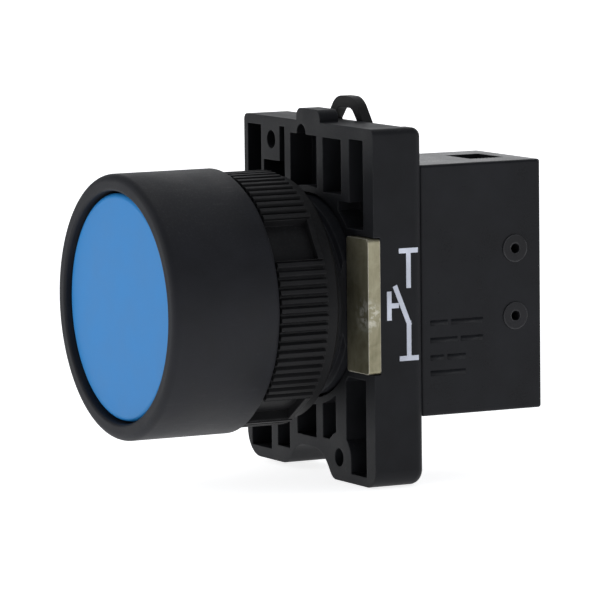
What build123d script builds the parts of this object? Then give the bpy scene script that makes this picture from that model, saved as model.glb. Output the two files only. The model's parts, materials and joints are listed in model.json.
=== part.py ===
from build123d import *
import math
import os

os.makedirs("parts", exist_ok=True)

# Frame: X across the button, +Y along the button axis towards the wiring, Z up.
# The origin is on the button axis, in the plane of the bezel's panel seat. Millimetres.

# ---------------------------------------------------------------- driving dimensions
# Operator head (everything in front of the panel, y < 0)
BEZEL_R = 14.5
BEZEL_LEN = 12.9
BEZEL_BORE_R = 12.65
BEZEL_FLOOR = 1.6
RIM_ROUND = 0.8
SEAT_CHAMFER = 0.7
CAP_R = 12.38
CAP_RECESS = 0.6
CAP_T = 2.8
CAP_SKIRT_R = 11.0
CAP_SKIRT_END = -6.0
FINGER_R = 10.2

# Seals: grooves as (inner radius, outer radius), their places along the axis, and fits
GASKET_GROOVE, GASKET_DEPTH, GASKET_T = (11.2, 13.5), 0.6, 0.75
SEAL_GROOVE, SEAL_Y, SEAL_GROOVE_W, SEAL_W = (12.55, 13.45), -7.0, 1.2, 1.1
SEAL_LIP_W, SEAL_LIP, SEAL_GAP = 0.3, 0.35, 0.05

# Threaded neck
NECK_R = 11.0
NECK_BORE_R = 9.1
NECK_END = 16.9
WEB_Y0, WEB_Y1 = 9.0, 10.7
WEB_HOLE_R = 6.3
BAYONET_R = 9.9
BAYONET_Y0, BAYONET_Y1 = 15.5, 16.45
LUG_SPAN = 24.0
LOCK_SWING = 18.0
KEY_W, KEY_DEPTH = 3.0, 0.7
KEY_START, KEY_END = 0.3, 8.6
FLAT_X, FLAT_Y0 = 10.0, 9.2

# Pusher
STEM_R = 6.25
STEM_BORE_R = 4.0
FLANGE_R = 8.5
FLANGE_T = 1.7
FOOT_R = 8.8
FOOT_Y0, FOOT_Y1 = 10.8, 12.28
SHANK_R, SHANK_SHORT, SHANK_T = 4.0, 0.3, 3.0
FOOT_WALL, FOOT_HOLE_R = 0.28, 1.3
FOOT_SCREW_TIP, FOOT_SCREW_R, FOOT_SCREW_HEAD = 8.3, 0.98, (2.2, 0.7)
PILOT_R, PILOT_DEPTH = 1.0, 5.0
FOOT_SCREW_SLOT = (0.55, 2.6, 0.45)
SPRING_R, SPRING_WIRE, SPRING_TURNS = 7.4, 0.42, 6.5

# Ring nut
NUT_Y0, KNURL_END, NUT_Y1 = 0.2, 5.9, 7.6
NUT_R = 14.0
COLLAR_R = 13.4
NUT_BORE_R = 11.05
PANELS = 4
RIBS_PER_PANEL = 17
RIB_PITCH = 4.09
RIB_DEPTH = 0.42
NOTCH_DEG = 20.5
NOTCH_MID = 33.0
NOTCH_FLOOR_R = 12.8
NOTCH_Y1 = 5.3
WASHER_R, WASHER_T = 12.0, 1.1
WASHER_BAY_R, WASHER_BAY_T = 12.35, 1.25

# Mounting base
BASE_Y0, BASE_Y1 = 10.85, 17.1
BASE_HALF_X = 15.0
BASE_TOP, BASE_BOTTOM, LEFT_FOOT = 19.15, -19.85, -19.4
BASE_HOLE_R = 11.35
BASE_FLAT_X = FLAT_X + 0.15
POCKET_Y1 = 13.6
RING_BAY_R = 13.7
RING_BAY_Y0 = 15.5
PLATE_Y0, PLATE_T = 10.15, 1.5
PLATE_X0, PLATE_HALF_Z = BASE_FLAT_X, 7.35
BOSS_HOLE_R = 1.0

# Locking lever
LEVER_Y0, LEVER_T = 15.6, 1.2
LEVER_R = 13.4
LOOP_SIDE = ((2.1, 21.72), (4.7, 18.4), (2.85, 16.3), (2.85, 12.3))
LOOP_ROUND = 2.9
LOOP_HOLE_SIDE = ((1.5, 20.45), (2.75, 19.1), (2.4, 17.3))
LOOP_HOLE_ROUND = 1.2
SLOT_SPAN = LOCK_SWING + 32

# Contact block
BLOCK_X0, BLOCK_X1 = 0.4, 14.2
BLOCK_XC = (BLOCK_X0 + BLOCK_X1) / 2
BLOCK_ZC = 1.25
BLOCK_HALF_Z = 13.7
BLOCK_Y1 = 32.15
WALL_Y = 18.2
CHAMBER_Y1 = 31.0
CHAMBER_HALF_X = 5.3
CHAMBER_HALF_Z = 6.45
PIN_Y, PIN_ZC, PIN_DZ = 28.85, 1.6, 3.7
PIN_R, PIN_HEAD_R, PIN_HOLE_R = 1.0, 1.5, 0.55
PIN_PROUD, PILLAR_R = 0.15, 1.5
TERM_DZ = 9.9
TERM_Z_IN = 7.15
STRIP_Y0, STRIP_T = 25.7, 0.8
STRIP_HALF_X = 2.7
CLAMP_GAP = 1.8
SADDLE_T = 0.9
SCREW_HEAD_R, SCREW_R = 2.6, 1.7
SCREW_HEAD_T = 1.9
SCREW_TIP_LEN = 1.9
SCREW_SLOT = (0.8, 3.6, 1.2)
STRIP_INNER_END, STRIP_OUTER_Z = 1.2, 12.4
SADDLE_Z = 4.8
BRIDGE_Y0, BRIDGE_T = 23.0, 0.6
BRIDGE_HALF_Z, BRIDGE_HALF_X = 6.2, 1.8
TIP_R, TIP_T, TIP_DZ = 1.15, 0.3, 5.0


def across(y):
    """Plane at height y along the button axis; its local x, y are the row's X, Z."""
    return Plane(origin=(0, y, 0), x_dir=(1, 0, 0), z_dir=(0, -1, 0))


def side(x):
    """Plane facing +X at x; its local x, y are the row's Y, Z."""
    return Plane(origin=(x, 0, 0), x_dir=(0, 1, 0), z_dir=(1, 0, 0))


def polar(radius, degrees):
    """Point at an angle measured from +X towards +Z."""
    return radius * math.cos(math.radians(degrees)), radius * math.sin(math.radians(degrees))


def sectors(r_in, r_out, mid_deg, span_deg, count=1):
    """Ring sectors round the axis, evenly spaced, the first one centred on mid_deg."""
    with BuildSketch(Plane.XY) as sketch:
        for k in range(count):
            start = mid_deg - span_deg / 2 + 360 * k / count
            end = start + span_deg
            with BuildLine():
                Line(polar(r_in, start), polar(r_out, start))
                ThreePointArc(
                    polar(r_out, start), polar(r_out, (start + end) / 2), polar(r_out, end)
                )
                Line(polar(r_out, end), polar(r_in, end))
                ThreePointArc(
                    polar(r_in, end), polar(r_in, (start + end) / 2), polar(r_in, start)
                )
            make_face()
    return sketch.sketch


def rounded_top(right_side, radius):
    """Outline symmetric about x = 0, from its right side listed downwards, top corners rounded."""
    with BuildSketch(Plane.XY) as sketch:
        with BuildLine():
            Polyline(*right_side, *[(-x, z) for x, z in reversed(right_side)], close=True)
        make_face()
        fillet(sketch.vertices().group_by(Axis.Y)[-1], radius)
    return sketch.sketch


def coil(radius, wire, y0, y1, turns, centre=(0, 0)):
    """Round wire helix along Y between y0 and y1, standing on the axis at centre (x, z)."""
    pitch = (y1 - y0 - 2 * wire) / turns
    foot = (centre[0], y0 + wire, centre[1])
    with BuildPart() as spring:
        with BuildLine() as path:
            Helix(
                pitch=pitch,
                height=pitch * turns,
                radius=radius,
                center=foot,
                direction=(0, 1, 0),
            )
        start = path.line @ 0
        with BuildSketch(Plane(origin=start, z_dir=path.line % 0)):
            Circle(wire)
        sweep(path=path.line, is_frenet=True)
    return spring.part


# ---------------------------------------------------------------- operator head
with BuildPart() as bezel_body:
    with BuildSketch(Plane.XY):
        with BuildLine():
            Polyline(
                (BEZEL_BORE_R, -BEZEL_LEN),
                (BEZEL_R, -BEZEL_LEN),
                (BEZEL_R, 0),
                (NECK_R, 0),
                (NECK_R, NECK_END),
                (NECK_BORE_R, NECK_END),
                (NECK_BORE_R, WEB_Y1),
                (WEB_HOLE_R, WEB_Y1),
                (WEB_HOLE_R, WEB_Y0),
                (NECK_BORE_R, WEB_Y0),
                (NECK_BORE_R, -BEZEL_FLOOR),
                (BEZEL_BORE_R, -BEZEL_FLOOR),
                close=True,
            )
        make_face()
    revolve(axis=Axis.Y)
    rim = bezel_body.edges().filter_by(GeomType.CIRCLE).group_by(Axis.Y)[0].sort_by(SortBy.RADIUS)
    fillet(rim[-1], RIM_ROUND)
    rim = bezel_body.edges().filter_by(GeomType.CIRCLE).group_by(Axis.Y)[0].sort_by(SortBy.RADIUS)
    fillet(rim[0], 0.35)
    seat = bezel_body.edges().filter_by(GeomType.CIRCLE).filter_by_position(Axis.Y, -0.01, 0.01)
    chamfer(seat.sort_by(SortBy.RADIUS)[-1], SEAT_CHAMFER)
    with BuildSketch(Plane.XY):  # groove for the gasket and groove for the wiper seal
        with Locations((sum(GASKET_GROOVE) / 2, -GASKET_DEPTH / 2)):
            Rectangle(GASKET_GROOVE[1] - GASKET_GROOVE[0], GASKET_DEPTH)
        with Locations((sum(SEAL_GROOVE) / 2, SEAL_Y)):
            Rectangle(SEAL_GROOVE[1] - SEAL_GROOVE[0], SEAL_GROOVE_W)
    revolve(axis=Axis.Y, mode=Mode.SUBTRACT)
    with BuildSketch(across(KEY_START)):  # key groove along the thread, for the tab washer
        with Locations((0, NECK_R)):
            Rectangle(KEY_W, 2 * KEY_DEPTH)
    extrude(amount=-(KEY_END - KEY_START), mode=Mode.SUBTRACT)
    with BuildSketch(across(FLAT_Y0)):  # two flats that stop the base turning on the neck
        with Locations((FLAT_X + 1, 0), (-FLAT_X - 1, 0)):
            Rectangle(2, 2 * NECK_R)
    extrude(amount=-(NECK_END - FLAT_Y0 + 1), mode=Mode.SUBTRACT)
    with BuildSketch(across(BAYONET_Y0)):  # bayonet groove near the neck's end
        Circle(NECK_R + 1)
        Circle(BAYONET_R, mode=Mode.SUBTRACT)
    extrude(amount=-(BAYONET_Y1 - BAYONET_Y0), mode=Mode.SUBTRACT)
    with BuildSketch(across(BAYONET_Y0)):  # two entry slots for the lever's lugs
        add(sectors(BAYONET_R, NECK_R + 1, 90 - LOCK_SWING, LUG_SPAN + 4, 2))
    extrude(amount=-(NECK_END - BAYONET_Y0), mode=Mode.SUBTRACT)

with BuildPart() as button_cap:
    front = -BEZEL_LEN + CAP_RECESS
    with BuildSketch(Plane.XY):
        with BuildLine():
            Polyline(
                (0, front),
                (CAP_R, front),
                (CAP_R, CAP_SKIRT_END),
                (CAP_SKIRT_R, CAP_SKIRT_END),
                (CAP_SKIRT_R, front + CAP_T),
                (0, front + CAP_T),
                close=True,
            )
        make_face()
    revolve(axis=Axis.Y)
    fillet(button_cap.edges().filter_by(GeomType.CIRCLE).group_by(Axis.Y)[0], 0.5)
    snap_y0 = front + CAP_T
    with BuildSketch(across(snap_y0)):  # three snap fingers round the pusher's flange
        add(sectors(FLANGE_R + 0.1, FINGER_R, 90, 40, 3))
    extrude(amount=-(FLANGE_T + 0.9))
    with BuildSketch(across(snap_y0 + FLANGE_T + 0.1)):  # hooks that hold the flange
        add(sectors(FLANGE_R - 0.4, FLANGE_R + 0.4, 90, 30, 3))
    extrude(amount=-0.8)

FLANGE_Y0 = -BEZEL_LEN + CAP_RECESS + CAP_T
FLANGE_Y1 = FLANGE_Y0 + FLANGE_T
with BuildPart() as pusher:
    with BuildSketch(Plane.XY):
        with BuildLine():
            Polyline(
                (STEM_BORE_R, FLANGE_Y0),
                (FLANGE_R, FLANGE_Y0),
                (FLANGE_R, FLANGE_Y1),
                (STEM_R, FLANGE_Y1),
                (STEM_R, FOOT_Y0),
                (SHANK_R, FOOT_Y0),
                (SHANK_R, FOOT_Y1 - SHANK_SHORT),
                (0, FOOT_Y1 - SHANK_SHORT),
                (0, FOOT_Y0 - SHANK_T),
                (STEM_BORE_R, FOOT_Y0 - SHANK_T),
                close=True,
            )
        make_face()
    revolve(axis=Axis.Y)
    with BuildSketch(across(FOOT_Y0 - SHANK_T)):  # pilot hole for the foot screw
        Circle(PILOT_R)
    extrude(amount=-PILOT_DEPTH, mode=Mode.SUBTRACT)

with BuildPart() as pusher_foot:
    with BuildSketch(across(FOOT_Y0)):
        Circle(FOOT_R)
    extrude(amount=-(FOOT_Y1 - FOOT_Y0))
    with BuildSketch(across(FOOT_Y0)):  # socket over the stem's shank
        Circle(SHANK_R + 0.02)
    extrude(amount=-(FOOT_Y1 - FOOT_Y0 - FOOT_WALL), mode=Mode.SUBTRACT)
    with BuildSketch(across(FOOT_Y0)):
        Circle(FOOT_HOLE_R)
    extrude(amount=-(FOOT_Y1 - FOOT_Y0), mode=Mode.SUBTRACT)

with BuildPart() as foot_screw:
    with BuildSketch(Plane.XY):
        with BuildLine():
            Polyline(
                (0, FOOT_SCREW_TIP),
                (FOOT_SCREW_R - 0.4, FOOT_SCREW_TIP),
                (FOOT_SCREW_R, FOOT_SCREW_TIP + 0.6),
                (FOOT_SCREW_R, FOOT_Y1),
                (FOOT_SCREW_HEAD[0], FOOT_Y1),
                (FOOT_SCREW_HEAD[0], FOOT_Y1 + FOOT_SCREW_HEAD[1]),
                (0, FOOT_Y1 + FOOT_SCREW_HEAD[1]),
                close=True,
            )
        make_face()
    revolve(axis=Axis.Y)
    with BuildSketch(across(FOOT_Y1 + FOOT_SCREW_HEAD[1])):  # cross recess
        slot_w, slot_len, slot_depth = FOOT_SCREW_SLOT
        Rectangle(slot_w, slot_len)
        Rectangle(slot_len, slot_w)
    extrude(amount=slot_depth, mode=Mode.SUBTRACT)

return_spring_part = coil(
    SPRING_R, SPRING_WIRE, FLANGE_Y1 + 0.02, WEB_Y0 - 0.02, SPRING_TURNS
)

with BuildPart() as wiper_seal:
    with BuildSketch(Plane.XY):
        with BuildLine():
            Polyline(
                (CAP_R + SEAL_GAP, SEAL_Y - SEAL_LIP_W / 2),
                (CAP_R + SEAL_LIP, SEAL_Y - SEAL_W / 2),
                (SEAL_GROOVE[1] - SEAL_GAP, SEAL_Y - SEAL_W / 2),
                (SEAL_GROOVE[1] - SEAL_GAP, SEAL_Y + SEAL_W / 2),
                (CAP_R + SEAL_LIP, SEAL_Y + SEAL_W / 2),
                (CAP_R + SEAL_GAP, SEAL_Y + SEAL_LIP_W / 2),
                close=True,
            )
        make_face()
    revolve(axis=Axis.Y)

with BuildPart() as panel_gasket:
    with BuildSketch(across(-GASKET_DEPTH)):
        Circle(GASKET_GROOVE[1] - 0.05)
        Circle(GASKET_GROOVE[0] + 0.1, mode=Mode.SUBTRACT)
    extrude(amount=-GASKET_T)

# ---------------------------------------------------------------- ring nut and its washer
with BuildPart() as ring_nut:
    with BuildSketch(across(NUT_Y0)):  # ribbed outline: one trapezoid rib per pitch
        with BuildLine():
            points = []
            for panel in range(PANELS):
                mid = NOTCH_MID + 45 + 90 * panel
                first = mid - RIB_PITCH * (RIBS_PER_PANEL - 1) / 2
                notch_end = mid - 45 + NOTCH_DEG / 2
                points.append((NUT_R - 0.1, notch_end))
                for rib in range(RIBS_PER_PANEL):
                    centre = first + RIB_PITCH * rib
                    points.append((NUT_R - RIB_DEPTH, centre - 0.42 * RIB_PITCH))
                    points.append((NUT_R, centre - 0.2 * RIB_PITCH))
                    points.append((NUT_R, centre + 0.2 * RIB_PITCH))
                    points.append((NUT_R - RIB_DEPTH, centre + 0.42 * RIB_PITCH))
                points.append((NUT_R - 0.1, mid + 45 - NOTCH_DEG / 2))
            Polyline(*[polar(r, a) for r, a in points], close=True)
        make_face()
        Circle(NUT_BORE_R, mode=Mode.SUBTRACT)
    extrude(amount=-(KNURL_END - NUT_Y0))
    with BuildSketch(across(NUT_Y0)):  # spanner notches between the ribbed panels
        add(sectors(NOTCH_FLOOR_R, NUT_R + 1, NOTCH_MID, NOTCH_DEG, PANELS))
    extrude(amount=-(NOTCH_Y1 - NUT_Y0), mode=Mode.SUBTRACT)
    with BuildSketch(across(KNURL_END)):
        Circle(COLLAR_R)
        Circle(NUT_BORE_R, mode=Mode.SUBTRACT)
    extrude(amount=-(NUT_Y1 - KNURL_END))
    rear = ring_nut.edges().filter_by(GeomType.CIRCLE).group_by(Axis.Y)[-1]
    chamfer(rear.sort_by(SortBy.RADIUS)[-1], 0.35)
    with BuildSketch(across(NUT_Y0)):  # front recess for the tab washer
        Circle(WASHER_BAY_R)
    extrude(amount=-WASHER_BAY_T, mode=Mode.SUBTRACT)

with BuildPart() as tab_washer:
    with BuildSketch(across(NUT_Y0 + 0.1)):
        Circle(WASHER_R)
        Circle(NECK_R + 0.1, mode=Mode.SUBTRACT)
        with Locations((0, NECK_R + 0.05)):  # tab in the neck's key groove
            Rectangle(KEY_W - 0.4, 0.9)
    extrude(amount=-WASHER_T)

# ---------------------------------------------------------------- mounting base
# Pockets in the base's front face, as (x0, x1, z0, z1)
POCKETS = (
    (-14.1, -10.9, 9.0, 18.1),
    (-10.3, -6.4, 11.0, 14.3),
    (-6.5, -5.3, 11.0, 18.2),
    (-3.95, 2.2, 11.7, 17.65),
    (3.6, 7.8, 11.6, 17.6),
    (9.6, 12.75, 8.1, 17.8),
    (7.0, 9.7, 8.1, 10.9),
    (-13.9, -9.15, -18.2, -8.5),
    (-7.7, -4.8, -17.6, -11.0),
    (-3.0, 1.5, -15.7, -11.0),
    (3.0, 6.05, -15.5, -9.5),
    (8.4, 13.0, -18.8, -8.2),
)
HUB_R = 12.1
PLATE_SEAT = PLATE_Y0 + PLATE_T
HOOK_X = (10.8, 12.2)
HOOK_Z = (10.8, -10.6)
HOOK_H, HOOK_GAP = 2.6, 0.3
BOSSES = ((-8.5, 16.6), (6.7, -17.3))
BOSS_R = 2.75

with BuildPart() as mounting_base:
    with BuildSketch(across(BASE_Y0)):
        with BuildLine():
            Polyline(
                (-6.4, LEFT_FOOT),
                (-BASE_HALF_X, LEFT_FOOT),
                (-BASE_HALF_X, BASE_TOP),
                (BASE_HALF_X, BASE_TOP),
                (BASE_HALF_X, BASE_BOTTOM),
                (6.0, BASE_BOTTOM),
            )
            Spline(  # arch between the two feet
                (6.0, BASE_BOTTOM),
                (4.2, -18.6),
                (2.7, -17.3),
                (-0.3, -16.8),
                (-3.3, -17.3),
                (-4.7, -18.6),
                (-6.4, LEFT_FOOT),
                tangents=((-1, 0), (-1, 0)),
            )
        make_face()
    extrude(amount=-(BASE_Y1 - BASE_Y0))
    corners = mounting_base.edges().filter_by(Axis.Y)
    fillet(corners.filter_by(lambda e: e.center().X > 14 and e.center().Z < -19), 1.8)
    corners = mounting_base.edges().filter_by(Axis.Y)
    fillet(corners.filter_by(lambda e: e.center().X < -14 and e.center().Z < -19), 3.0)
    corners = mounting_base.edges().filter_by(Axis.Y)
    fillet(corners.filter_by(lambda e: e.center().Z > 19), 0.7)
    rear_top = mounting_base.edges().filter_by(Axis.X).group_by(Axis.Z)[-1]
    fillet(rear_top.sort_by(Axis.Y)[-1], 1.2)
    with BuildSketch(across(BASE_Y0)):  # hump on the top edge
        with Locations((0.25, BASE_TOP + 0.18)):
            RectangleRounded(5.5, 2.36, 1.0)
    extrude(amount=-2.3)
    with BuildSketch(across(BASE_Y0)):  # moulding pockets, kept clear of the hub
        for x0, x1, z0, z1 in POCKETS:
            with Locations(((x0 + x1) / 2, (z0 + z1) / 2)):
                Rectangle(x1 - x0, z1 - z0)
        with Locations((-1.35, 17.2)):  # narrower round top of the middle pocket
            SlotOverall(3.1, 2.1, rotation=90)
        Circle(HUB_R, mode=Mode.SUBTRACT)
        with Locations(BOSSES[1]):  # screw boss with a round head
            Circle(BOSS_R, mode=Mode.SUBTRACT)
        with Locations((BOSSES[1][0], BOSSES[1][1] - BOSS_R)):
            Rectangle(2 * BOSS_R, 2 * BOSS_R, mode=Mode.SUBTRACT)
    extrude(amount=-(POCKET_Y1 - BASE_Y0), mode=Mode.SUBTRACT)
    with BuildSketch(across(BASE_Y0)):  # seats of the two side plates
        for sign in (-1, 1):
            with Locations((sign * (BASE_HALF_X + PLATE_X0 - 0.2) / 2, 0)):
                Rectangle(BASE_HALF_X - PLATE_X0 + 0.2, 2 * PLATE_HALF_Z + 0.2)
    extrude(amount=-(PLATE_SEAT - BASE_Y0), mode=Mode.SUBTRACT)
    with BuildSketch(across(BASE_Y0)):  # hole with two flats, over the neck's
        Circle(BASE_HOLE_R)
        Rectangle(2 * BASE_FLAT_X, 2 * BASE_HOLE_R, mode=Mode.INTERSECT)
    extrude(amount=-(BASE_Y1 - BASE_Y0), mode=Mode.SUBTRACT)
    with BuildSketch(across(BASE_Y0)):
        with Locations(*BOSSES):
            Circle(BOSS_HOLE_R)
    extrude(amount=-(BASE_Y1 - BASE_Y0), mode=Mode.SUBTRACT)
    with BuildSketch(across(RING_BAY_Y0)):  # rear bay of the lever, with the slot its arm swings in
        Circle(RING_BAY_R)
        add(sectors(RING_BAY_R - 1, 30, 90 - LOCK_SWING / 2, SLOT_SPAN))
    extrude(amount=-(BASE_Y1 - RING_BAY_Y0), mode=Mode.SUBTRACT)
    with BuildSketch(across(POCKET_Y1)):  # slots for the hooks of two contact blocks
        for sign in (-1, 1):
            for z in HOOK_Z:
                with Locations((sign * sum(HOOK_X) / 2, z)):
                    Rectangle(HOOK_X[1] - HOOK_X[0] + HOOK_GAP, HOOK_H + 2 * HOOK_GAP)
    extrude(amount=-(BASE_Y1 - POCKET_Y1), mode=Mode.SUBTRACT)
    with BuildSketch(across(BASE_Y1)):  # rib between the two contact block seats
        with Locations((0, -15.3)):
            Rectangle(0.6, 2.8)
    extrude(amount=-0.6)

with BuildPart() as side_plates:
    with BuildSketch(across(PLATE_Y0)):
        for sign in (-1, 1):
            with Locations((sign * (BASE_HALF_X + PLATE_X0) / 2, 0)):
                RectangleRounded(BASE_HALF_X - PLATE_X0, 2 * PLATE_HALF_Z, 0.35)
    extrude(amount=-PLATE_T)

with BuildPart() as locking_lever:
    with BuildSketch(across(LEVER_Y0)):
        Circle(LEVER_R)
        add(rounded_top(LOOP_SIDE, LOOP_ROUND))
        add(rounded_top(LOOP_HOLE_SIDE, LOOP_HOLE_ROUND), mode=Mode.SUBTRACT)
        Circle(BASE_HOLE_R, mode=Mode.SUBTRACT)
    extrude(amount=-LEVER_T)
    with BuildSketch(across(LEVER_Y0)):  # two lugs that lock in the neck's bayonet groove
        add(sectors(BAYONET_R + 0.3, BASE_HOLE_R + 0.6, 90, LUG_SPAN, 2))
    extrude(amount=-0.8)

# White contact symbol printed on the base's side: strokes as (y, z) to (y, z)
MARK_STROKES = (
    ((15.1, 5.9), (15.1, 2.1)),
    ((15.1, -2.0), (13.5, 1.9)),
    ((15.1, -2.0), (15.1, -5.8)),
    ((12.7, 0.0), (13.6, 0.0)),
    ((12.7, -1.3), (12.7, 1.3)),
    ((14.2, 5.9), (16.0, 5.9)),
    ((14.2, -5.8), (16.0, -5.8)),
)
MARK_W, MARK_T = 0.55, 0.06
with BuildPart() as side_mark:
    with BuildSketch(side(BASE_HALF_X)):
        for (y0, z0), (y1, z1) in MARK_STROKES:
            with Locations(((y0 + y1) / 2, (z0 + z1) / 2)):
                Rectangle(
                    math.hypot(y1 - y0, z1 - z0) + MARK_W,
                    MARK_W,
                    rotation=math.degrees(math.atan2(z1 - z0, y1 - y0)),
                )
    extrude(amount=MARK_T)

# ---------------------------------------------------------------- contact block
STRIP_Y1 = STRIP_Y0 + STRIP_T
SADDLE_Y0 = STRIP_Y1 + CLAMP_GAP
SCREW_Y0 = SADDLE_Y0 + SADDLE_T + 0.05
ENTRY_Y1 = 29.9
SCREW_ROOM = 4.1
TIP_HALF_X, TIP_HALF_Z = 1.2, 1.9
BODY_HALF_X, BODY_HALF_Z = 2.8, 1.7
BODY_Y0, BODY_Y1 = 19.2, 25.2

with BuildPart() as block_shell:
    with BuildSketch(across(BASE_Y1)):
        with Locations((BLOCK_XC, BLOCK_ZC)):
            Rectangle(BLOCK_X1 - BLOCK_X0, 2 * BLOCK_HALF_Z)
    extrude(amount=-(BLOCK_Y1 - BASE_Y1))
    fillet(block_shell.edges(), 0.3)
    for z in HOOK_Z:  # hooks that latch behind the base's rear wall
        outward = 1 if z > 0 else -1
        with BuildSketch(across(POCKET_Y1 - 0.8)):
            with Locations((sum(HOOK_X) / 2, z)):
                Rectangle(HOOK_X[1] - HOOK_X[0], HOOK_H)
        extrude(amount=-(BASE_Y1 - POCKET_Y1 + 1.3))
        with BuildSketch(across(POCKET_Y1 - 0.8)):
            with Locations((sum(HOOK_X) / 2, z + outward * (HOOK_H + 0.7) / 2)):
                Rectangle(HOOK_X[1] - HOOK_X[0], 0.7)
        extrude(amount=-0.7)
    with BuildSketch(across(WALL_Y)):  # chamber of the switching mechanism
        with Locations((BLOCK_XC, BLOCK_ZC)):
            Rectangle(2 * CHAMBER_HALF_X, 2 * CHAMBER_HALF_Z)
    extrude(amount=-(CHAMBER_Y1 - WALL_Y), mode=Mode.SUBTRACT)
    with BuildSketch(side(BLOCK_X0 + 0.5)):  # pillars round the pins
        with Locations(*[(PIN_Y, PIN_ZC + s * PIN_DZ) for s in (-1, 1)]):
            Circle(PILLAR_R)
    extrude(amount=BLOCK_X1 - BLOCK_X0 - 1)
    with BuildSketch(across(BASE_Y1)):  # plunger opening
        with Locations((BLOCK_XC, BLOCK_ZC)):
            Rectangle(2 * TIP_HALF_X + 0.4, 2 * TIP_HALF_Z + 0.4)
    extrude(amount=-(WALL_Y - BASE_Y1), mode=Mode.SUBTRACT)
    for s in (-1, 1):
        with BuildSketch(across(STRIP_Y0)):  # wire entry, open at the block's end
            with Locations((BLOCK_XC, BLOCK_ZC + s * (TERM_Z_IN + BLOCK_HALF_Z + 1) / 2)):
                Rectangle(2 * STRIP_HALF_X + 0.2, BLOCK_HALF_Z + 1 - TERM_Z_IN)
        extrude(amount=-(ENTRY_Y1 - STRIP_Y0), mode=Mode.SUBTRACT)
        with BuildSketch(across(STRIP_Y0)):  # slot the strip passes through
            with Locations((BLOCK_XC, BLOCK_ZC + s * (CHAMBER_HALF_Z + TERM_Z_IN) / 2)):
                Rectangle(2 * STRIP_HALF_X + 0.2, 2)
        extrude(amount=-(STRIP_T + 0.1), mode=Mode.SUBTRACT)
        with BuildSketch(across(STRIP_Y0 - SCREW_ROOM)):  # room for the screw's tip
            with Locations((BLOCK_XC, BLOCK_ZC + s * TERM_DZ)):
                Circle(SCREW_R + 0.4)
        extrude(amount=-SCREW_ROOM, mode=Mode.SUBTRACT)
        with BuildSketch(across(ENTRY_Y1)):  # screwdriver hole
            with Locations((BLOCK_XC, BLOCK_ZC + s * TERM_DZ)):
                Circle(SCREW_HEAD_R + 0.3)
        extrude(amount=-(BLOCK_Y1 - ENTRY_Y1), mode=Mode.SUBTRACT)
    with BuildSketch(side(BLOCK_X0)):  # pin holes
        with Locations(*[(PIN_Y, PIN_ZC + s * PIN_DZ) for s in (-1, 1)]):
            Circle(PIN_R + 0.02)
    extrude(amount=BLOCK_X1 - BLOCK_X0, mode=Mode.SUBTRACT)

with BuildPart() as block_housing:
    add(block_shell.part)
    split(bisect_by=Plane.YZ.offset(BLOCK_XC), keep=Keep.TOP)

with BuildPart() as block_cover:
    add(block_shell.part)
    split(bisect_by=Plane.YZ.offset(BLOCK_XC), keep=Keep.BOTTOM)

with BuildPart() as hollow_pins:
    spots = [(PIN_Y, PIN_ZC + s * PIN_DZ) for s in (-1, 1)]
    with BuildSketch(side(BLOCK_X0)):
        with Locations(*spots):
            Circle(PIN_R)
    extrude(amount=BLOCK_X1 - BLOCK_X0)
    for x0 in (BLOCK_X0 - PIN_PROUD, BLOCK_X1):
        with BuildSketch(side(x0)):
            with Locations(*spots):
                Circle(PIN_HEAD_R)
        extrude(amount=PIN_PROUD)
    with BuildSketch(side(BLOCK_X0 - PIN_PROUD)):
        with Locations(*spots):
            Circle(PIN_HOLE_R)
    extrude(amount=BLOCK_X1 - BLOCK_X0 + 2 * PIN_PROUD, mode=Mode.SUBTRACT)

WINDOW_Y1 = BRIDGE_Y0 + BRIDGE_T + 0.02
with BuildPart() as block_plunger:
    with BuildSketch(across(FOOT_Y1 + 0.02)):
        with Locations((BLOCK_XC, BLOCK_ZC)):
            RectangleRounded(2 * TIP_HALF_X, 2 * TIP_HALF_Z, 0.4)
    extrude(amount=-(BODY_Y0 - FOOT_Y1 - 0.02))
    with BuildSketch(across(WALL_Y + 0.05)):  # shoulder that stops it at the front wall
        with Locations((BLOCK_XC, BLOCK_ZC)):
            Rectangle(2 * BODY_HALF_X, 6.4)
    extrude(amount=-(BODY_Y0 - WALL_Y - 0.05))
    with BuildSketch(across(BODY_Y0)):
        with Locations((BLOCK_XC, BLOCK_ZC)):
            Rectangle(2 * BODY_HALF_X, 2 * BODY_HALF_Z)
    extrude(amount=-(BODY_Y1 - BODY_Y0))
    with BuildSketch(across(BODY_Y0)):  # window the bridge rides in
        with Locations((BLOCK_XC, BLOCK_ZC)):
            Rectangle(2 * BRIDGE_HALF_X + 0.4, 2 * BODY_HALF_Z + 1)
    extrude(amount=-(WINDOW_Y1 - BODY_Y0), mode=Mode.SUBTRACT)

with BuildPart() as contact_bridge:
    with BuildSketch(across(BRIDGE_Y0)):
        with Locations((BLOCK_XC, BLOCK_ZC)):
            RectangleRounded(2 * BRIDGE_HALF_X, 2 * BRIDGE_HALF_Z, 0.8)
    extrude(amount=-BRIDGE_T)

with BuildPart() as bridge_tips:
    with BuildSketch(across(BRIDGE_Y0 + BRIDGE_T)):
        with Locations(*[(BLOCK_XC, BLOCK_ZC + s * TIP_DZ) for s in (-1, 1)]):
            Circle(TIP_R)
    extrude(amount=-TIP_T)

with BuildPart() as fixed_tips:
    with BuildSketch(across(STRIP_Y0 - TIP_T)):
        with Locations(*[(BLOCK_XC, BLOCK_ZC + s * TIP_DZ) for s in (-1, 1)]):
            Circle(TIP_R)
    extrude(amount=-TIP_T)


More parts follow.
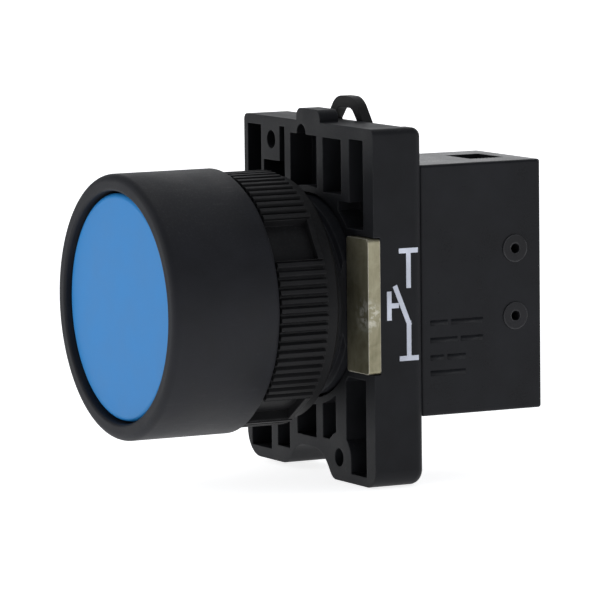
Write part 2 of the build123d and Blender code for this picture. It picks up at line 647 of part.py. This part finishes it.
def terminal_strip(s):
    """Flat copper strip: fixed contact at its inner end, tapped for the clamp screw."""
    with BuildPart() as strip:
        with BuildSketch(across(STRIP_Y0)):
            inner_z = TIP_DZ - STRIP_INNER_END
            with Locations((BLOCK_XC, BLOCK_ZC + s * (inner_z + STRIP_OUTER_Z) / 2)):
                Rectangle(2 * STRIP_HALF_X, STRIP_OUTER_Z - inner_z)
            with Locations((BLOCK_XC, BLOCK_ZC + s * TERM_DZ)):
                Circle(SCREW_R + 0.05, mode=Mode.SUBTRACT)
        extrude(amount=-STRIP_T)
    return strip.part


def clamp_saddle(s):
    """Square pressure plate under the terminal screw's head."""
    with BuildPart() as saddle:
        with BuildSketch(across(SADDLE_Y0)):
            with Locations((BLOCK_XC, BLOCK_ZC + s * TERM_DZ)):
                RectangleRounded(2 * STRIP_HALF_X - 0.4, SADDLE_Z, 0.3)
                Circle(SCREW_R + 0.2, mode=Mode.SUBTRACT)
        extrude(amount=-SADDLE_T)
    return saddle.part


def terminal_screw(s):
    """Cheese-head screw with a cross recess, its axis along Y."""
    slot_w, slot_len, slot_depth = SCREW_SLOT
    with BuildPart() as screw:
        with BuildSketch(across(STRIP_Y0 - SCREW_TIP_LEN)):
            with Locations((BLOCK_XC, BLOCK_ZC + s * TERM_DZ)):
                Circle(SCREW_R)
        extrude(amount=-(SCREW_Y0 - STRIP_Y0 + SCREW_TIP_LEN))
        with BuildSketch(across(SCREW_Y0)):
            with Locations((BLOCK_XC, BLOCK_ZC + s * TERM_DZ)):
                Circle(SCREW_HEAD_R)
        extrude(amount=-SCREW_HEAD_T)
        crown = screw.edges().filter_by(GeomType.CIRCLE).group_by(Axis.Y)[-1]
        fillet(crown, 0.35)
        with BuildSketch(across(SCREW_Y0 + SCREW_HEAD_T)):
            with Locations((BLOCK_XC, BLOCK_ZC + s * TERM_DZ)):
                Rectangle(slot_w, slot_len)
                Rectangle(slot_len, slot_w)
        extrude(amount=slot_depth, mode=Mode.SUBTRACT)
    return screw.part


contact_spring_part = coil(
    1.25, 0.2, BODY_Y0 + 0.01, BRIDGE_Y0 - 0.01, 4, (BLOCK_XC, BLOCK_ZC)
)
plunger_spring_part = coil(
    1.3, 0.18, BODY_Y1 + 0.01, CHAMBER_Y1 - 0.01, 5, (BLOCK_XC, BLOCK_ZC)
)

# ---------------------------------------------------------------- export
PARTS = {
    "bezel_body": bezel_body.part,
    "button_cap": button_cap.part,
    "pusher": pusher.part,
    "pusher_foot": pusher_foot.part,
    "foot_screw": foot_screw.part,
    "return_spring": return_spring_part,
    "wiper_seal": wiper_seal.part,
    "panel_gasket": panel_gasket.part,
    "ring_nut": ring_nut.part,
    "tab_washer": tab_washer.part,
    "mounting_base": mounting_base.part,
    "side_plates": side_plates.part,
    "locking_lever": locking_lever.part,
    "side_mark": side_mark.part,
    "block_housing": block_housing.part,
    "block_cover": block_cover.part,
    "hollow_pins": hollow_pins.part,
    "block_plunger": block_plunger.part,
    "contact_bridge": contact_bridge.part,
    "bridge_tips": bridge_tips.part,
    "fixed_tips": fixed_tips.part,
    "contact_spring": contact_spring_part,
    "plunger_spring": plunger_spring_part,
    "upper_strip": terminal_strip(1),
    "lower_strip": terminal_strip(-1),
    "upper_saddle": clamp_saddle(1),
    "lower_saddle": clamp_saddle(-1),
    "upper_screw": terminal_screw(1),
    "lower_screw": terminal_screw(-1),
}
for label, shape in PARTS.items():
    shape.label = label
    export_step(shape, f"parts/{label}.step")
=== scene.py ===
import json
import math

import bmesh
import bpy
from mathutils import Matrix, Vector


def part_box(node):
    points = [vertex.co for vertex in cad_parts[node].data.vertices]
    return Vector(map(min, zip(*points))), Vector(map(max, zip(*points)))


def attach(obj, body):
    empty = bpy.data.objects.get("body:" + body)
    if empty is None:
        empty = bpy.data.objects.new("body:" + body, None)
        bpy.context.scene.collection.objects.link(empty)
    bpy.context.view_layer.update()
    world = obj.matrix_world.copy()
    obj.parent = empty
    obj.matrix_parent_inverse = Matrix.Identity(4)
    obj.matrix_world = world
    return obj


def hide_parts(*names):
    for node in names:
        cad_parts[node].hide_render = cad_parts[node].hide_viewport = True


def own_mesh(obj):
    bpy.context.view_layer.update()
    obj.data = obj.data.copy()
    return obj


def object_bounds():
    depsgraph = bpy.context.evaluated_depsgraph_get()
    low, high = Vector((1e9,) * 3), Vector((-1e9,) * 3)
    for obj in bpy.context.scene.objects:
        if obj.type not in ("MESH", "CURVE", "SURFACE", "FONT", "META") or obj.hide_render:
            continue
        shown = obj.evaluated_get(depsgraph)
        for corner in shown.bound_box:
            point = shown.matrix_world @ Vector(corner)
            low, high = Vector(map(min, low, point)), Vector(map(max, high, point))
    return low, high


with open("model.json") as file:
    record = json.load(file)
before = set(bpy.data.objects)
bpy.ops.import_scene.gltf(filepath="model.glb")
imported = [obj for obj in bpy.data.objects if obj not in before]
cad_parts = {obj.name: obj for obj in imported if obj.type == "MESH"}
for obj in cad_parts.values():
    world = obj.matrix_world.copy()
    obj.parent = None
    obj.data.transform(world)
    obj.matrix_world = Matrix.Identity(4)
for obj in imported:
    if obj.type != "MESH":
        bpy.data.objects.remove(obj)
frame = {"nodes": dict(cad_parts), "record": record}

# Frame: X across the button, +Y from the button towards the wiring, +Z up. Metres.
MM = 0.001
cad_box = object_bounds()
nodes = frame["nodes"]
show = bpy.context.scene.collection.objects.link


# ---------------------------------------------------------------- shader graphs
# The Mix node's colour sockets, by index because their names repeat.
MIX_COLOUR_INPUTS, MIX_COLOUR_OUTPUT = (6, 7), 2


class Graph:
    """A material's node tree, built up from a Principled shader."""

    def __init__(self, name):
        self.material = bpy.data.materials.new(name)
        self.material.use_nodes = True
        self.tree = self.material.node_tree
        self.shader = self.tree.nodes["Principled BSDF"]
        self.place = self.node("ShaderNodeTexCoord").outputs["Object"]
        self.geometry = self.node("ShaderNodeNewGeometry")

    def node(self, kind, inputs=None, **settings):
        made = self.tree.nodes.new(kind)
        for key, value in settings.items():
            setattr(made, key, value)
        for key, value in (inputs or {}).items():
            if isinstance(value, bpy.types.NodeSocket):
                self.tree.links.new(value, made.inputs[key])
            else:
                made.inputs[key].default_value = value
        return made

    def link(self, value, socket):
        self.tree.links.new(value, self.shader.inputs[socket])

    def set(self, **values):
        for key, value in values.items():
            self.shader.inputs[key.replace("_", " ")].default_value = value

    def stretched(self, scale):
        """Object coordinates with their own scale along each axis."""
        return self.node(
            "ShaderNodeMapping", {"Vector": self.place, "Scale": scale}
        ).outputs["Vector"]

    def noise(self, scale, detail=2.0, rough=0.5, where=None, distortion=0.0):
        return self.node(
            "ShaderNodeTexNoise",
            {
                "Vector": where or self.place,
                "Scale": scale,
                "Detail": detail,
                "Roughness": rough,
                "Distortion": distortion,
            },
        ).outputs["Fac"]

    def math(self, operation, a, b):
        return self.node("ShaderNodeMath", {0: a, 1: b}, operation=operation).outputs[0]

    def span(self, value, low, high, to_low, to_high):
        """The value's range low to high mapped to another range, and clamped there."""
        return self.node(
            "ShaderNodeMapRange",
            {
                "Value": value,
                "From Min": low,
                "From Max": high,
                "To Min": to_low,
                "To Max": to_high,
            },
            clamp=True,
        ).outputs["Result"]

    def mix(self, share, a, b):
        """Colour a with that share of colour b over it."""
        made = self.node(
            "ShaderNodeMix", {"Factor": share}, data_type="RGBA", blend_type="MIX"
        )
        for index, value in zip(MIX_COLOUR_INPUTS, (a, b)):
            if isinstance(value, bpy.types.NodeSocket):
                self.tree.links.new(value, made.inputs[index])
            else:
                made.inputs[index].default_value = (*value, 1.0)
        return made.outputs[MIX_COLOUR_OUTPUT]

    def soft_edges(self, radius):
        """Normal rounded over sharp edges, and a mask that is 1 on those edges."""
        bevel = self.node("ShaderNodeBevel", {"Radius": radius}, samples=4)
        dot = self.node(
            "ShaderNodeVectorMath",
            {0: bevel.outputs["Normal"], 1: self.geometry.outputs["Normal"]},
            operation="DOT_PRODUCT",
        ).outputs["Value"]
        return bevel.outputs["Normal"], self.span(dot, 0.99, 0.8, 0.0, 1.0)

    def bump(self, height, distance, normal):
        return self.node(
            "ShaderNodeBump", {"Height": height, "Distance": distance, "Normal": normal}
        ).outputs["Normal"]


# Noise scales, in cells a metre: bigger is finer.
CLOUD_SCALE, EDGE_PATCH_SCALE, SPECK_SCALE, FLECK_SCALE = 260.0, 900.0, 3800.0, 1400.0
SCUFF_SCALE = (2600.0, 300.0, 1500.0)
COARSE_GRAIN, COARSE_SHARE = 0.35, 0.6
# Pale specks on faces that look up: dust, and also a painted sheen that lightens the tops.
DUST_AND_SHEEN_COLOUR = (0.45, 0.45, 0.44)
# Painted highlight on the plate: its colour, and the distances where it is full and where it has
# faded out.
PAINTED_HIGHLIGHT_COLOUR, PAINTED_HIGHLIGHT_CORE, PAINTED_HIGHLIGHT_RIM = (0.80, 0.78, 0.70), 0.3 * MM, 2.2 * MM


def moulded(name, colour, edge_wear_and_highlight, rough, grain=7000.0, depth=0.004, edge=0.14, specular=0.5,
            edge_wear_and_highlight_share=0.6, dust_and_sheen=0.0, uneven=0.2, scuffed=0.08):
    """Moulded plastic: spark-eroded grain, uneven gloss, paler edges, pale specks on top.

    The paler edges are wear, and on the pins a painted highlight. The specks on top are dust, and
    also a painted sheen, most of all on the block.
    grain is its fineness, depth and edge are in millimetres.
    """
    g = Graph(name)
    normal, on_edge = g.soft_edges(edge * MM)
    clouds = g.noise(CLOUD_SCALE, 3.0)
    fine = g.noise(grain, 2.0, 0.6)
    base = g.mix(
        g.span(clouds, 0.3, 0.7, 0.0, 1.0),
        [c * (1 - uneven) for c in colour],
        [min(1.0, c * (1 + uneven)) for c in colour],
    )
    patches = g.span(g.noise(EDGE_PATCH_SCALE, 3.0), 0.35, 0.65, 0.35, 1.0)
    # Paler edge colour in patches: wear, and on the pins a painted highlight along their rims.
    edge_wear_and_highlight_mask = g.math("MULTIPLY", on_edge, patches)
    base = g.mix(g.math("MULTIPLY", edge_wear_and_highlight_mask, edge_wear_and_highlight_share), base, edge_wear_and_highlight)
    # Dust and painted sheen: pale specks on faces that look up, which on the block's top also
    # stand for its bright sheen.
    if dust_and_sheen:
        up = g.node(
            "ShaderNodeSeparateXYZ", {"Vector": g.geometry.outputs["Normal"]}
        ).outputs["Z"]
        specks = g.span(g.noise(SPECK_SCALE, 4.0, 0.7), 0.52, 0.72, 0.0, 1.0)
        dust_and_sheen_share = g.math("MULTIPLY", specks, g.span(up, 0.3, 1.0, 0.0, dust_and_sheen))
        base = g.mix(dust_and_sheen_share, base, DUST_AND_SHEEN_COLOUR)
    g.link(base, "Base Color")
    smooth, dull = rough
    gloss = g.math(
        "ADD", g.span(clouds, 0.3, 0.7, smooth, dull), g.span(fine, 0.3, 0.7, -0.03, 0.03)
    )
    scuffs = g.span(
        g.noise(1.0, 4.0, 0.6, g.stretched(SCUFF_SCALE)), 0.6, 0.72, 0.0, scuffed
    )
    g.link(g.math("SUBTRACT", gloss, scuffs), "Roughness")
    coarse = g.noise(grain * COARSE_GRAIN, 2.0)
    height = g.math("ADD", fine, g.math("MULTIPLY", coarse, COARSE_SHARE))
    g.link(g.bump(height, depth * MM, normal), "Normal")
    g.set(Specular_IOR_Level=specular)
    return g.material


def metal(name, light, dark, rough, grain, depth, edge=0.1, blotch=500.0, bright_edge=None,
          metallic=1.0, painted_highlight_at=None):
    """Plated or bare metal: rolled or drawn grain, mottled tone, brighter burnished edges.

    grain is its fineness along each axis, depth and edge are in millimetres, and the last argument
    is the point, in millimetres, round which a pale flecked patch is painted on as a highlight.
    """
    g = Graph(name)
    normal, on_edge = g.soft_edges(edge * MM)
    lines = g.noise(1.0, 4.0, 0.65, g.stretched(grain))
    mottle = g.noise(blotch, 4.0, 0.6, distortion=0.6)
    base = g.mix(g.span(mottle, 0.32, 0.68, 0.0, 1.0), dark, light)
    streak = [min(1.0, c * 1.25) for c in light]
    base = g.mix(g.span(lines, 0.4, 0.75, 0.0, 0.35), base, streak)
    if bright_edge:
        base = g.mix(g.math("MULTIPLY", on_edge, 0.8), base, bright_edge)
    # Painted highlight: a pale flecked patch round the given point.
    if painted_highlight_at:
        away = g.node(
            "ShaderNodeVectorMath", {0: g.place, 1: [c * MM for c in painted_highlight_at]}, operation="DISTANCE"
        ).outputs["Value"]
        near = g.span(away, PAINTED_HIGHLIGHT_CORE, PAINTED_HIGHLIGHT_RIM, 1.0, 0.0)
        flecks = g.span(g.noise(FLECK_SCALE, 3.0, 0.6), 0.46, 0.6, 0.0, 1.0)
        base = g.mix(g.math("MULTIPLY", near, flecks), base, PAINTED_HIGHLIGHT_COLOUR)
    g.link(base, "Base Color")
    smooth, dull = rough
    g.link(g.span(lines, 0.3, 0.7, smooth, dull), "Roughness")
    g.link(g.bump(lines, depth * MM, normal), "Normal")
    g.set(Metallic=metallic)
    return g.material


BLACK = (0.0112, 0.0118, 0.0150)
GREY_EDGE = (0.05, 0.052, 0.058)
materials = {
    "bezel": moulded(
        "bezel_satin_black", BLACK, GREY_EDGE, rough=(0.54, 0.64), grain=6500.0, depth=0.0035,
        edge=0.18, specular=0.22, dust_and_sheen=0.04,
    ),
    "cap": moulded(
        "cap_blue", (0.020, 0.215, 0.545), (0.08, 0.31, 0.66), rough=(0.30, 0.38), grain=5200.0,
        depth=0.0016, edge=0.2, specular=0.13, edge_wear_and_highlight_share=0.35, uneven=0.03, scuffed=0.02,
    ),
    "pusher": moulded(
        "pusher_natural_nylon", (0.66, 0.65, 0.60), (0.74, 0.73, 0.70), rough=(0.4, 0.5),
        grain=3000.0, depth=0.002, edge=0.15,
    ),
    "screws": metal(
        "screws_zinc", (0.70, 0.71, 0.72), (0.50, 0.51, 0.54), rough=(0.2, 0.34),
        grain=(900.0, 900.0, 900.0), depth=0.001, edge=0.12, blotch=900.0,
        bright_edge=(0.82, 0.83, 0.84),
    ),
    "spring": metal(
        "spring_steel", (0.56, 0.56, 0.57), (0.38, 0.38, 0.40), rough=(0.22, 0.38),
        grain=(400.0, 6000.0, 400.0), depth=0.001, edge=0.05,
    ),
    "seal": moulded(
        "seal_rubber", (0.012, 0.012, 0.012), (0.03, 0.03, 0.03), rough=(0.62, 0.74),
        grain=5000.0, depth=0.006, edge=0.1, specular=0.35,
    ),
    "nut": moulded(
        "nut_matt_black", (0.0112, 0.0112, 0.0120), (0.045, 0.045, 0.047), rough=(0.46, 0.58),
        grain=6000.0, depth=0.005, edge=0.1, specular=0.12, dust_and_sheen=0.05,
    ),
    "washer": moulded(
        "washer_matt_black", (0.010, 0.010, 0.010), GREY_EDGE, rough=(0.5, 0.6),
    ),
    "base": moulded(
        "base_satin_black", (0.0118, 0.0123, 0.0142), (0.060, 0.062, 0.066), rough=(0.46, 0.58),
        grain=5600.0, depth=0.005, edge=0.16, specular=0.13, dust_and_sheen=0.07,
    ),
    # The pale flecked patch round the given point on this plate is a painted highlight.
    "plate": metal(
        "plate_yellow_passivated", (0.36, 0.335, 0.235), (0.20, 0.185, 0.115), rough=(0.36, 0.5),
        grain=(1500.0, 9000.0, 160.0), depth=0.002, edge=0.16, blotch=420.0,
        bright_edge=(0.66, 0.63, 0.56), metallic=0.8, painted_highlight_at=(14.1, 10.15, -0.9),
    ),
    "lever": moulded(
        "lever_satin_black", (0.0125, 0.0122, 0.0118), GREY_EDGE, rough=(0.44, 0.56),
        grain=5200.0, depth=0.005, edge=0.14, specular=0.14, dust_and_sheen=0.06,
    ),
    "mark": moulded(
        "mark_white_print", (0.60, 0.63, 0.72), (0.46, 0.49, 0.56), rough=(0.5, 0.62),
        grain=3200.0, depth=0.004, edge=0.03, specular=0.4,
    ),
    # Its pale specks on top are partly dust and partly a painted sheen that lightens the block's
    # top.
    "block": moulded(
        "block_satin_black", (0.0115, 0.0120, 0.0142), (0.055, 0.057, 0.062), rough=(0.27, 0.36),
        grain=4800.0, depth=0.005, edge=0.16, specular=0.13, dust_and_sheen=0.12,
    ),
    # The pins' pale edge colour is a painted highlight on their rounded rims.
    "pins": moulded(
        "pins_black", (0.012, 0.012, 0.014), (0.13, 0.13, 0.135), rough=(0.34, 0.44),
        grain=5200.0, depth=0.003, edge=0.24, specular=0.2, edge_wear_and_highlight_share=0.9,
    ),
    "plunger": moulded(
        "plunger_green", (0.06, 0.30, 0.13), (0.14, 0.42, 0.22), rough=(0.34, 0.44),
    ),
    "bridge": metal(
        "bridge_brass", (0.78, 0.60, 0.30), (0.62, 0.45, 0.20), rough=(0.22, 0.36),
        grain=(5000.0, 400.0, 400.0), depth=0.001,
    ),
    "silver": metal(
        "silver_tips", (0.88, 0.87, 0.84), (0.74, 0.73, 0.71), rough=(0.18, 0.3),
        grain=(900.0, 900.0, 900.0), depth=0.001,
    ),
    "strip": metal(
        "strip_brass", (0.80, 0.63, 0.33), (0.63, 0.47, 0.22), rough=(0.24, 0.38),
        grain=(400.0, 400.0, 5000.0), depth=0.001,
    ),
    "saddle": metal(
        "saddle_zinc", (0.64, 0.64, 0.63), (0.47, 0.47, 0.48), rough=(0.28, 0.42),
        grain=(4000.0, 400.0, 400.0), depth=0.0015,
    ),
}

for row in frame["record"]["subparts"]:
    mesh = nodes[row["node"]].data
    mesh.materials.clear()
    mesh.materials.append(materials[row["material_slot"]])


# ---------------------------------------------------------------- new pieces
def piece(name, mesh_maker, slot_name, smooth=True):
    """A new mesh object from a bmesh-building function, with its slot's material."""
    bm = bmesh.new()
    mesh_maker(bm)
    bmesh.ops.recalc_face_normals(bm, faces=bm.faces)
    mesh = bpy.data.meshes.new(name)
    bm.to_mesh(mesh)
    bm.free()
    mesh.shade_smooth() if smooth else mesh.shade_flat()
    made = bpy.data.objects.new(name, mesh)
    show(made)
    mesh.materials.append(materials[slot_name])
    return made


def swept(bm, rings):
    """Closed solid through rings of vertices, each with the same count."""
    sides = len(rings[0])
    for low, high in zip(rings, rings[1:]):
        for k in range(sides):
            bm.faces.new((low[k], low[(k + 1) % sides], high[(k + 1) % sides], high[k]))
    bm.faces.new(rings[0][::-1])
    bm.faces.new(rings[-1])


# ---------------------------------------------------------------- springs
COIL_STEPS, WIRE_SIDES, END_TURNS = 40, 10, 1.0


def spring_shape(centre, radius, wire, y0, y1, free_turns):
    """Compression spring with closed end coils, its axis along Y; wire is the wire's radius."""

    def build(bm):
        turns = free_turns + 2 * END_TURNS
        count = int(COIL_STEPS * turns)
        closed_pitch = 2 * wire
        end_rise = closed_pitch * END_TURNS
        free_rise = (y1 - y0 - 2 * wire) - 2 * end_rise
        rings = []
        for i in range(count + 1):
            t = turns * i / count
            if t < END_TURNS:
                y = closed_pitch * t
            elif t > turns - END_TURNS:
                y = end_rise + free_rise + closed_pitch * (t - turns + END_TURNS)
            else:
                y = end_rise + free_rise * (t - END_TURNS) / free_turns
            a = 2 * math.pi * t
            out = Vector((math.cos(a), 0, math.sin(a)))
            spot = Vector((centre[0], y0 + wire + y, centre[1])) + out * radius
            ring = []
            for k in range(WIRE_SIDES):
                b = 2 * math.pi * k / WIRE_SIDES
                spoke = out * math.cos(b) + Vector((0, math.sin(b), 0))
                ring.append(bm.verts.new(spot + spoke * wire))
            rings.append(ring)
        swept(bm, rings)

    return build


def spring(name, node, body, wire, free_turns):
    """Replaces a CAD spring by one with closed ends, its axis along Y, on that body."""
    low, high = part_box(node)
    centre = ((low.x + high.x) / 2, (low.z + high.z) / 2)
    radius = (high.x - low.x) / 2 - wire
    made = piece(name, spring_shape(centre, radius, wire, low.y, high.y, free_turns), "spring")
    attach(made, body)
    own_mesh(made)
    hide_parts(node)


spring("return_spring_coil", "return_spring", "frame",
       wire=0.42 * MM, free_turns=5.0)
spring("plunger_spring_coil", "plunger_spring", "frame",
       wire=0.18 * MM, free_turns=5.0)
spring("contact_spring_coil", "contact_spring", "bridge",
       wire=0.18 * MM, free_turns=3.0)

# ---------------------------------------------------------------- thread on the neck
NECK_R, THREAD_PITCH, THREAD_DEPTH = 11.0 * MM, 1.5 * MM, 0.5 * MM
THREAD_Y0, THREAD_Y1 = 1.6 * MM, 10.2 * MM
GROOVE_MOUTH, GROOVE_ROOT = 0.58 * MM, 0.14 * MM  # half widths
GROOVE_OVERSHOOT = 0.2 * MM  # how far the cutter's mouth lies outside the neck
GROOVE_STEPS, RUN_OUT_STEPS = 72, 12  # in one turn, and in the run-out at each end


def thread_cutter(bm):
    """Right-handed groove with sloping flanks, which runs out at both ends."""
    turns = (THREAD_Y1 - THREAD_Y0) / THREAD_PITCH
    count = int(GROOVE_STEPS * turns)
    rings = []
    for i in range(count + 1):
        a = 2 * math.pi * i / GROOVE_STEPS
        y = THREAD_Y0 + THREAD_PITCH * i / GROOVE_STEPS
        fade = min(1.0, i / RUN_OUT_STEPS, (count - i) / RUN_OUT_STEPS)
        mouth_r, root_r = NECK_R + GROOVE_OVERSHOOT, NECK_R - THREAD_DEPTH * fade
        corners = ((mouth_r, -GROOVE_MOUTH), (mouth_r, GROOVE_MOUTH),
                   (root_r, GROOVE_ROOT), (root_r, -GROOVE_ROOT))
        rings.append([
            bm.verts.new((r * math.sin(a), y + dy, r * math.cos(a))) for r, dy in corners
        ])
    swept(bm, rings)


def threaded_bezel():
    """The bezel with a real groove cut round its neck."""
    source = nodes["bezel_body"]
    cutter = piece("thread_cutter", thread_cutter, "bezel", smooth=False)
    made = bpy.data.objects.new("bezel_threaded", source.data.copy())
    show(made)
    cut = made.modifiers.new("thread", "BOOLEAN")
    cut.operation, cut.solver, cut.object = "DIFFERENCE", "EXACT", cutter
    bpy.context.view_layer.update()
    solid = made.evaluated_get(bpy.context.evaluated_depsgraph_get())
    mesh = bpy.data.meshes.new_from_object(solid)
    made.modifiers.clear()
    made.data = mesh
    bpy.data.objects.remove(cutter)
    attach(made, "frame")
    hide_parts("bezel_body")


threaded_bezel()

# ---------------------------------------------------------------- moulded details
# Each row of bars: its height Z, then the Y where each bar starts and ends. Millimetres.
BAR_ROWS = (
    (-2.3, ((18.2, 20.4), (20.8, 24.8))),
    (-4.2, ((18.2, 21.6), (22.0, 24.8))),
    (-6.1, ((18.2, 19.9), (20.3, 22.6))),
    (-7.8, ((18.2, 22.6),)),
)
BAR_SUNK, BAR_THICK, BAR_HIGH, BAR_ROUND = 0.05 * MM, 0.09 * MM, 0.6 * MM, 0.03 * MM


def pillow(bm, corner, size, bevel):
    """Box from a corner with that size, its edges rounded."""
    made = bmesh.ops.create_cube(bm, size=1.0)
    for v in made["verts"]:
        v.co = Vector(corner) + Vector([(v.co[k] + 0.5) * size[k] for k in range(3)])
    edges = {e for v in made["verts"] for e in v.link_edges}
    bmesh.ops.bevel(bm, geom=list(edges), offset=bevel, segments=2, affect="EDGES")


def rating_bars(bm):
    """Four rows of low raised bars on the contact block's outer side."""
    face_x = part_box("block_housing")[1].x
    for z, row_bars in BAR_ROWS:
        for y0, y1 in row_bars:
            pillow(bm, (face_x - BAR_SUNK, y0 * MM, z * MM - BAR_HIGH / 2),
                   (BAR_THICK, (y1 - y0) * MM, BAR_HIGH), BAR_ROUND)


bars = piece("rating_bars", rating_bars, "block")
bars.data.materials[0] = moulded(
    "block_bars_satin_black", (0.0100, 0.0105, 0.0125), (0.03, 0.031, 0.035), rough=(0.34, 0.44),
    grain=4800.0, depth=0.002, edge=0.02, specular=0.12,
)
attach(bars, "frame")

# ---------------------------------------------------------------- floor, light and camera
FLOOR_HALF, FLOOR_GAP = 6.0, 0.0001
floor_mesh = bpy.data.meshes.new("floor")
bm = bmesh.new()
bmesh.ops.create_grid(bm, x_segments=1, y_segments=1, size=FLOOR_HALF)
bm.to_mesh(floor_mesh)
bm.free()
floor = bpy.data.objects.new("floor", floor_mesh)
show(floor)
floor.location = (0, 0, cad_box[0].z - FLOOR_GAP)
g = Graph("floor_pale")
pale = g.mix(g.span(g.noise(9.0, 2.0), 0.3, 0.7, 0.0, 1.0), (0.90, 0.90, 0.90), (0.93, 0.93, 0.93))
g.link(pale, "Base Color")
g.set(Roughness=0.9, Specular_IOR_Level=0.1, Emission_Color=(1.0, 1.0, 1.0, 1.0),
      Emission_Strength=0.82)
floor_mesh.materials.append(g.material)

world = bpy.data.worlds.new("studio")
bpy.context.scene.world = world
world.use_nodes = True
sky = world.node_tree.nodes["Background"]
sky.inputs["Color"].default_value = (0.92, 0.96, 1.04, 1.0)
sky.inputs["Strength"].default_value = 0.28


def facing(direction):
    """Rotation of a light that shines in that direction."""
    return Vector(direction).to_track_quat("-Z", "Y").to_euler()


def softbox(name, place, target, width, height, radiance):
    """Rectangular area light of that surface radiance, facing the target."""
    light = bpy.data.lights.new(name, "AREA")
    light.shape = "RECTANGLE"
    light.size, light.size_y = width, height
    light.energy = radiance * math.pi * width * height
    made = bpy.data.objects.new(name, light)
    made.location = place
    made.rotation_euler = facing(Vector(target) - Vector(place))
    show(made)


sun = bpy.data.lights.new("overhead", "SUN")
sun.energy = 0.5
sun.angle = math.radians(60)
overhead = bpy.data.objects.new("overhead", sun)
overhead.rotation_euler = facing((0.25, -0.3, -1.0))
show(overhead)
softbox("front_fill", (-0.55, -1.15, 0.55), (0, 0, 0), width=0.9, height=0.7, radiance=2.0)
softbox("side_fill", (1.3, 0.25, 0.55), (0, 0.01, 0), width=0.7, height=0.9, radiance=0.3)
softbox("back_glow", (-1.25, 0.8, 0.5), (0, 0.01, 0), width=1.6, height=0.8, radiance=0.9)

AZIMUTH, ELEVATION, ROLL = math.radians(62.14), math.radians(6.28), math.radians(-0.64)
DISTANCE, LENS, SENSOR_WIDTH = 0.600, 327.2, 36.0
TARGET = Vector((0.0, 0.00976, -0.00054))
back = Vector((
    math.sin(AZIMUTH) * math.cos(ELEVATION),
    -math.cos(AZIMUTH) * math.cos(ELEVATION),
    math.sin(ELEVATION),
))
level = Vector((math.cos(AZIMUTH), math.sin(AZIMUTH), 0))
upright = back.cross(level)
right = math.cos(ROLL) * level + math.sin(ROLL) * upright
up = -math.sin(ROLL) * level + math.cos(ROLL) * upright
camera_data = bpy.data.cameras.new("camera")
camera_data.lens = LENS
camera_data.sensor_width = SENSOR_WIDTH
camera_data.clip_start, camera_data.clip_end = 0.01, 50.0
camera = bpy.data.objects.new("camera", camera_data)
show(camera)
camera.matrix_world = Matrix((right, up, back)).transposed().to_4x4()
camera.location = TARGET + back * DISTANCE
bpy.context.scene.camera = camera
bpy.context.scene.view_settings.view_transform = "Standard"

bpy.context.view_layer.update()
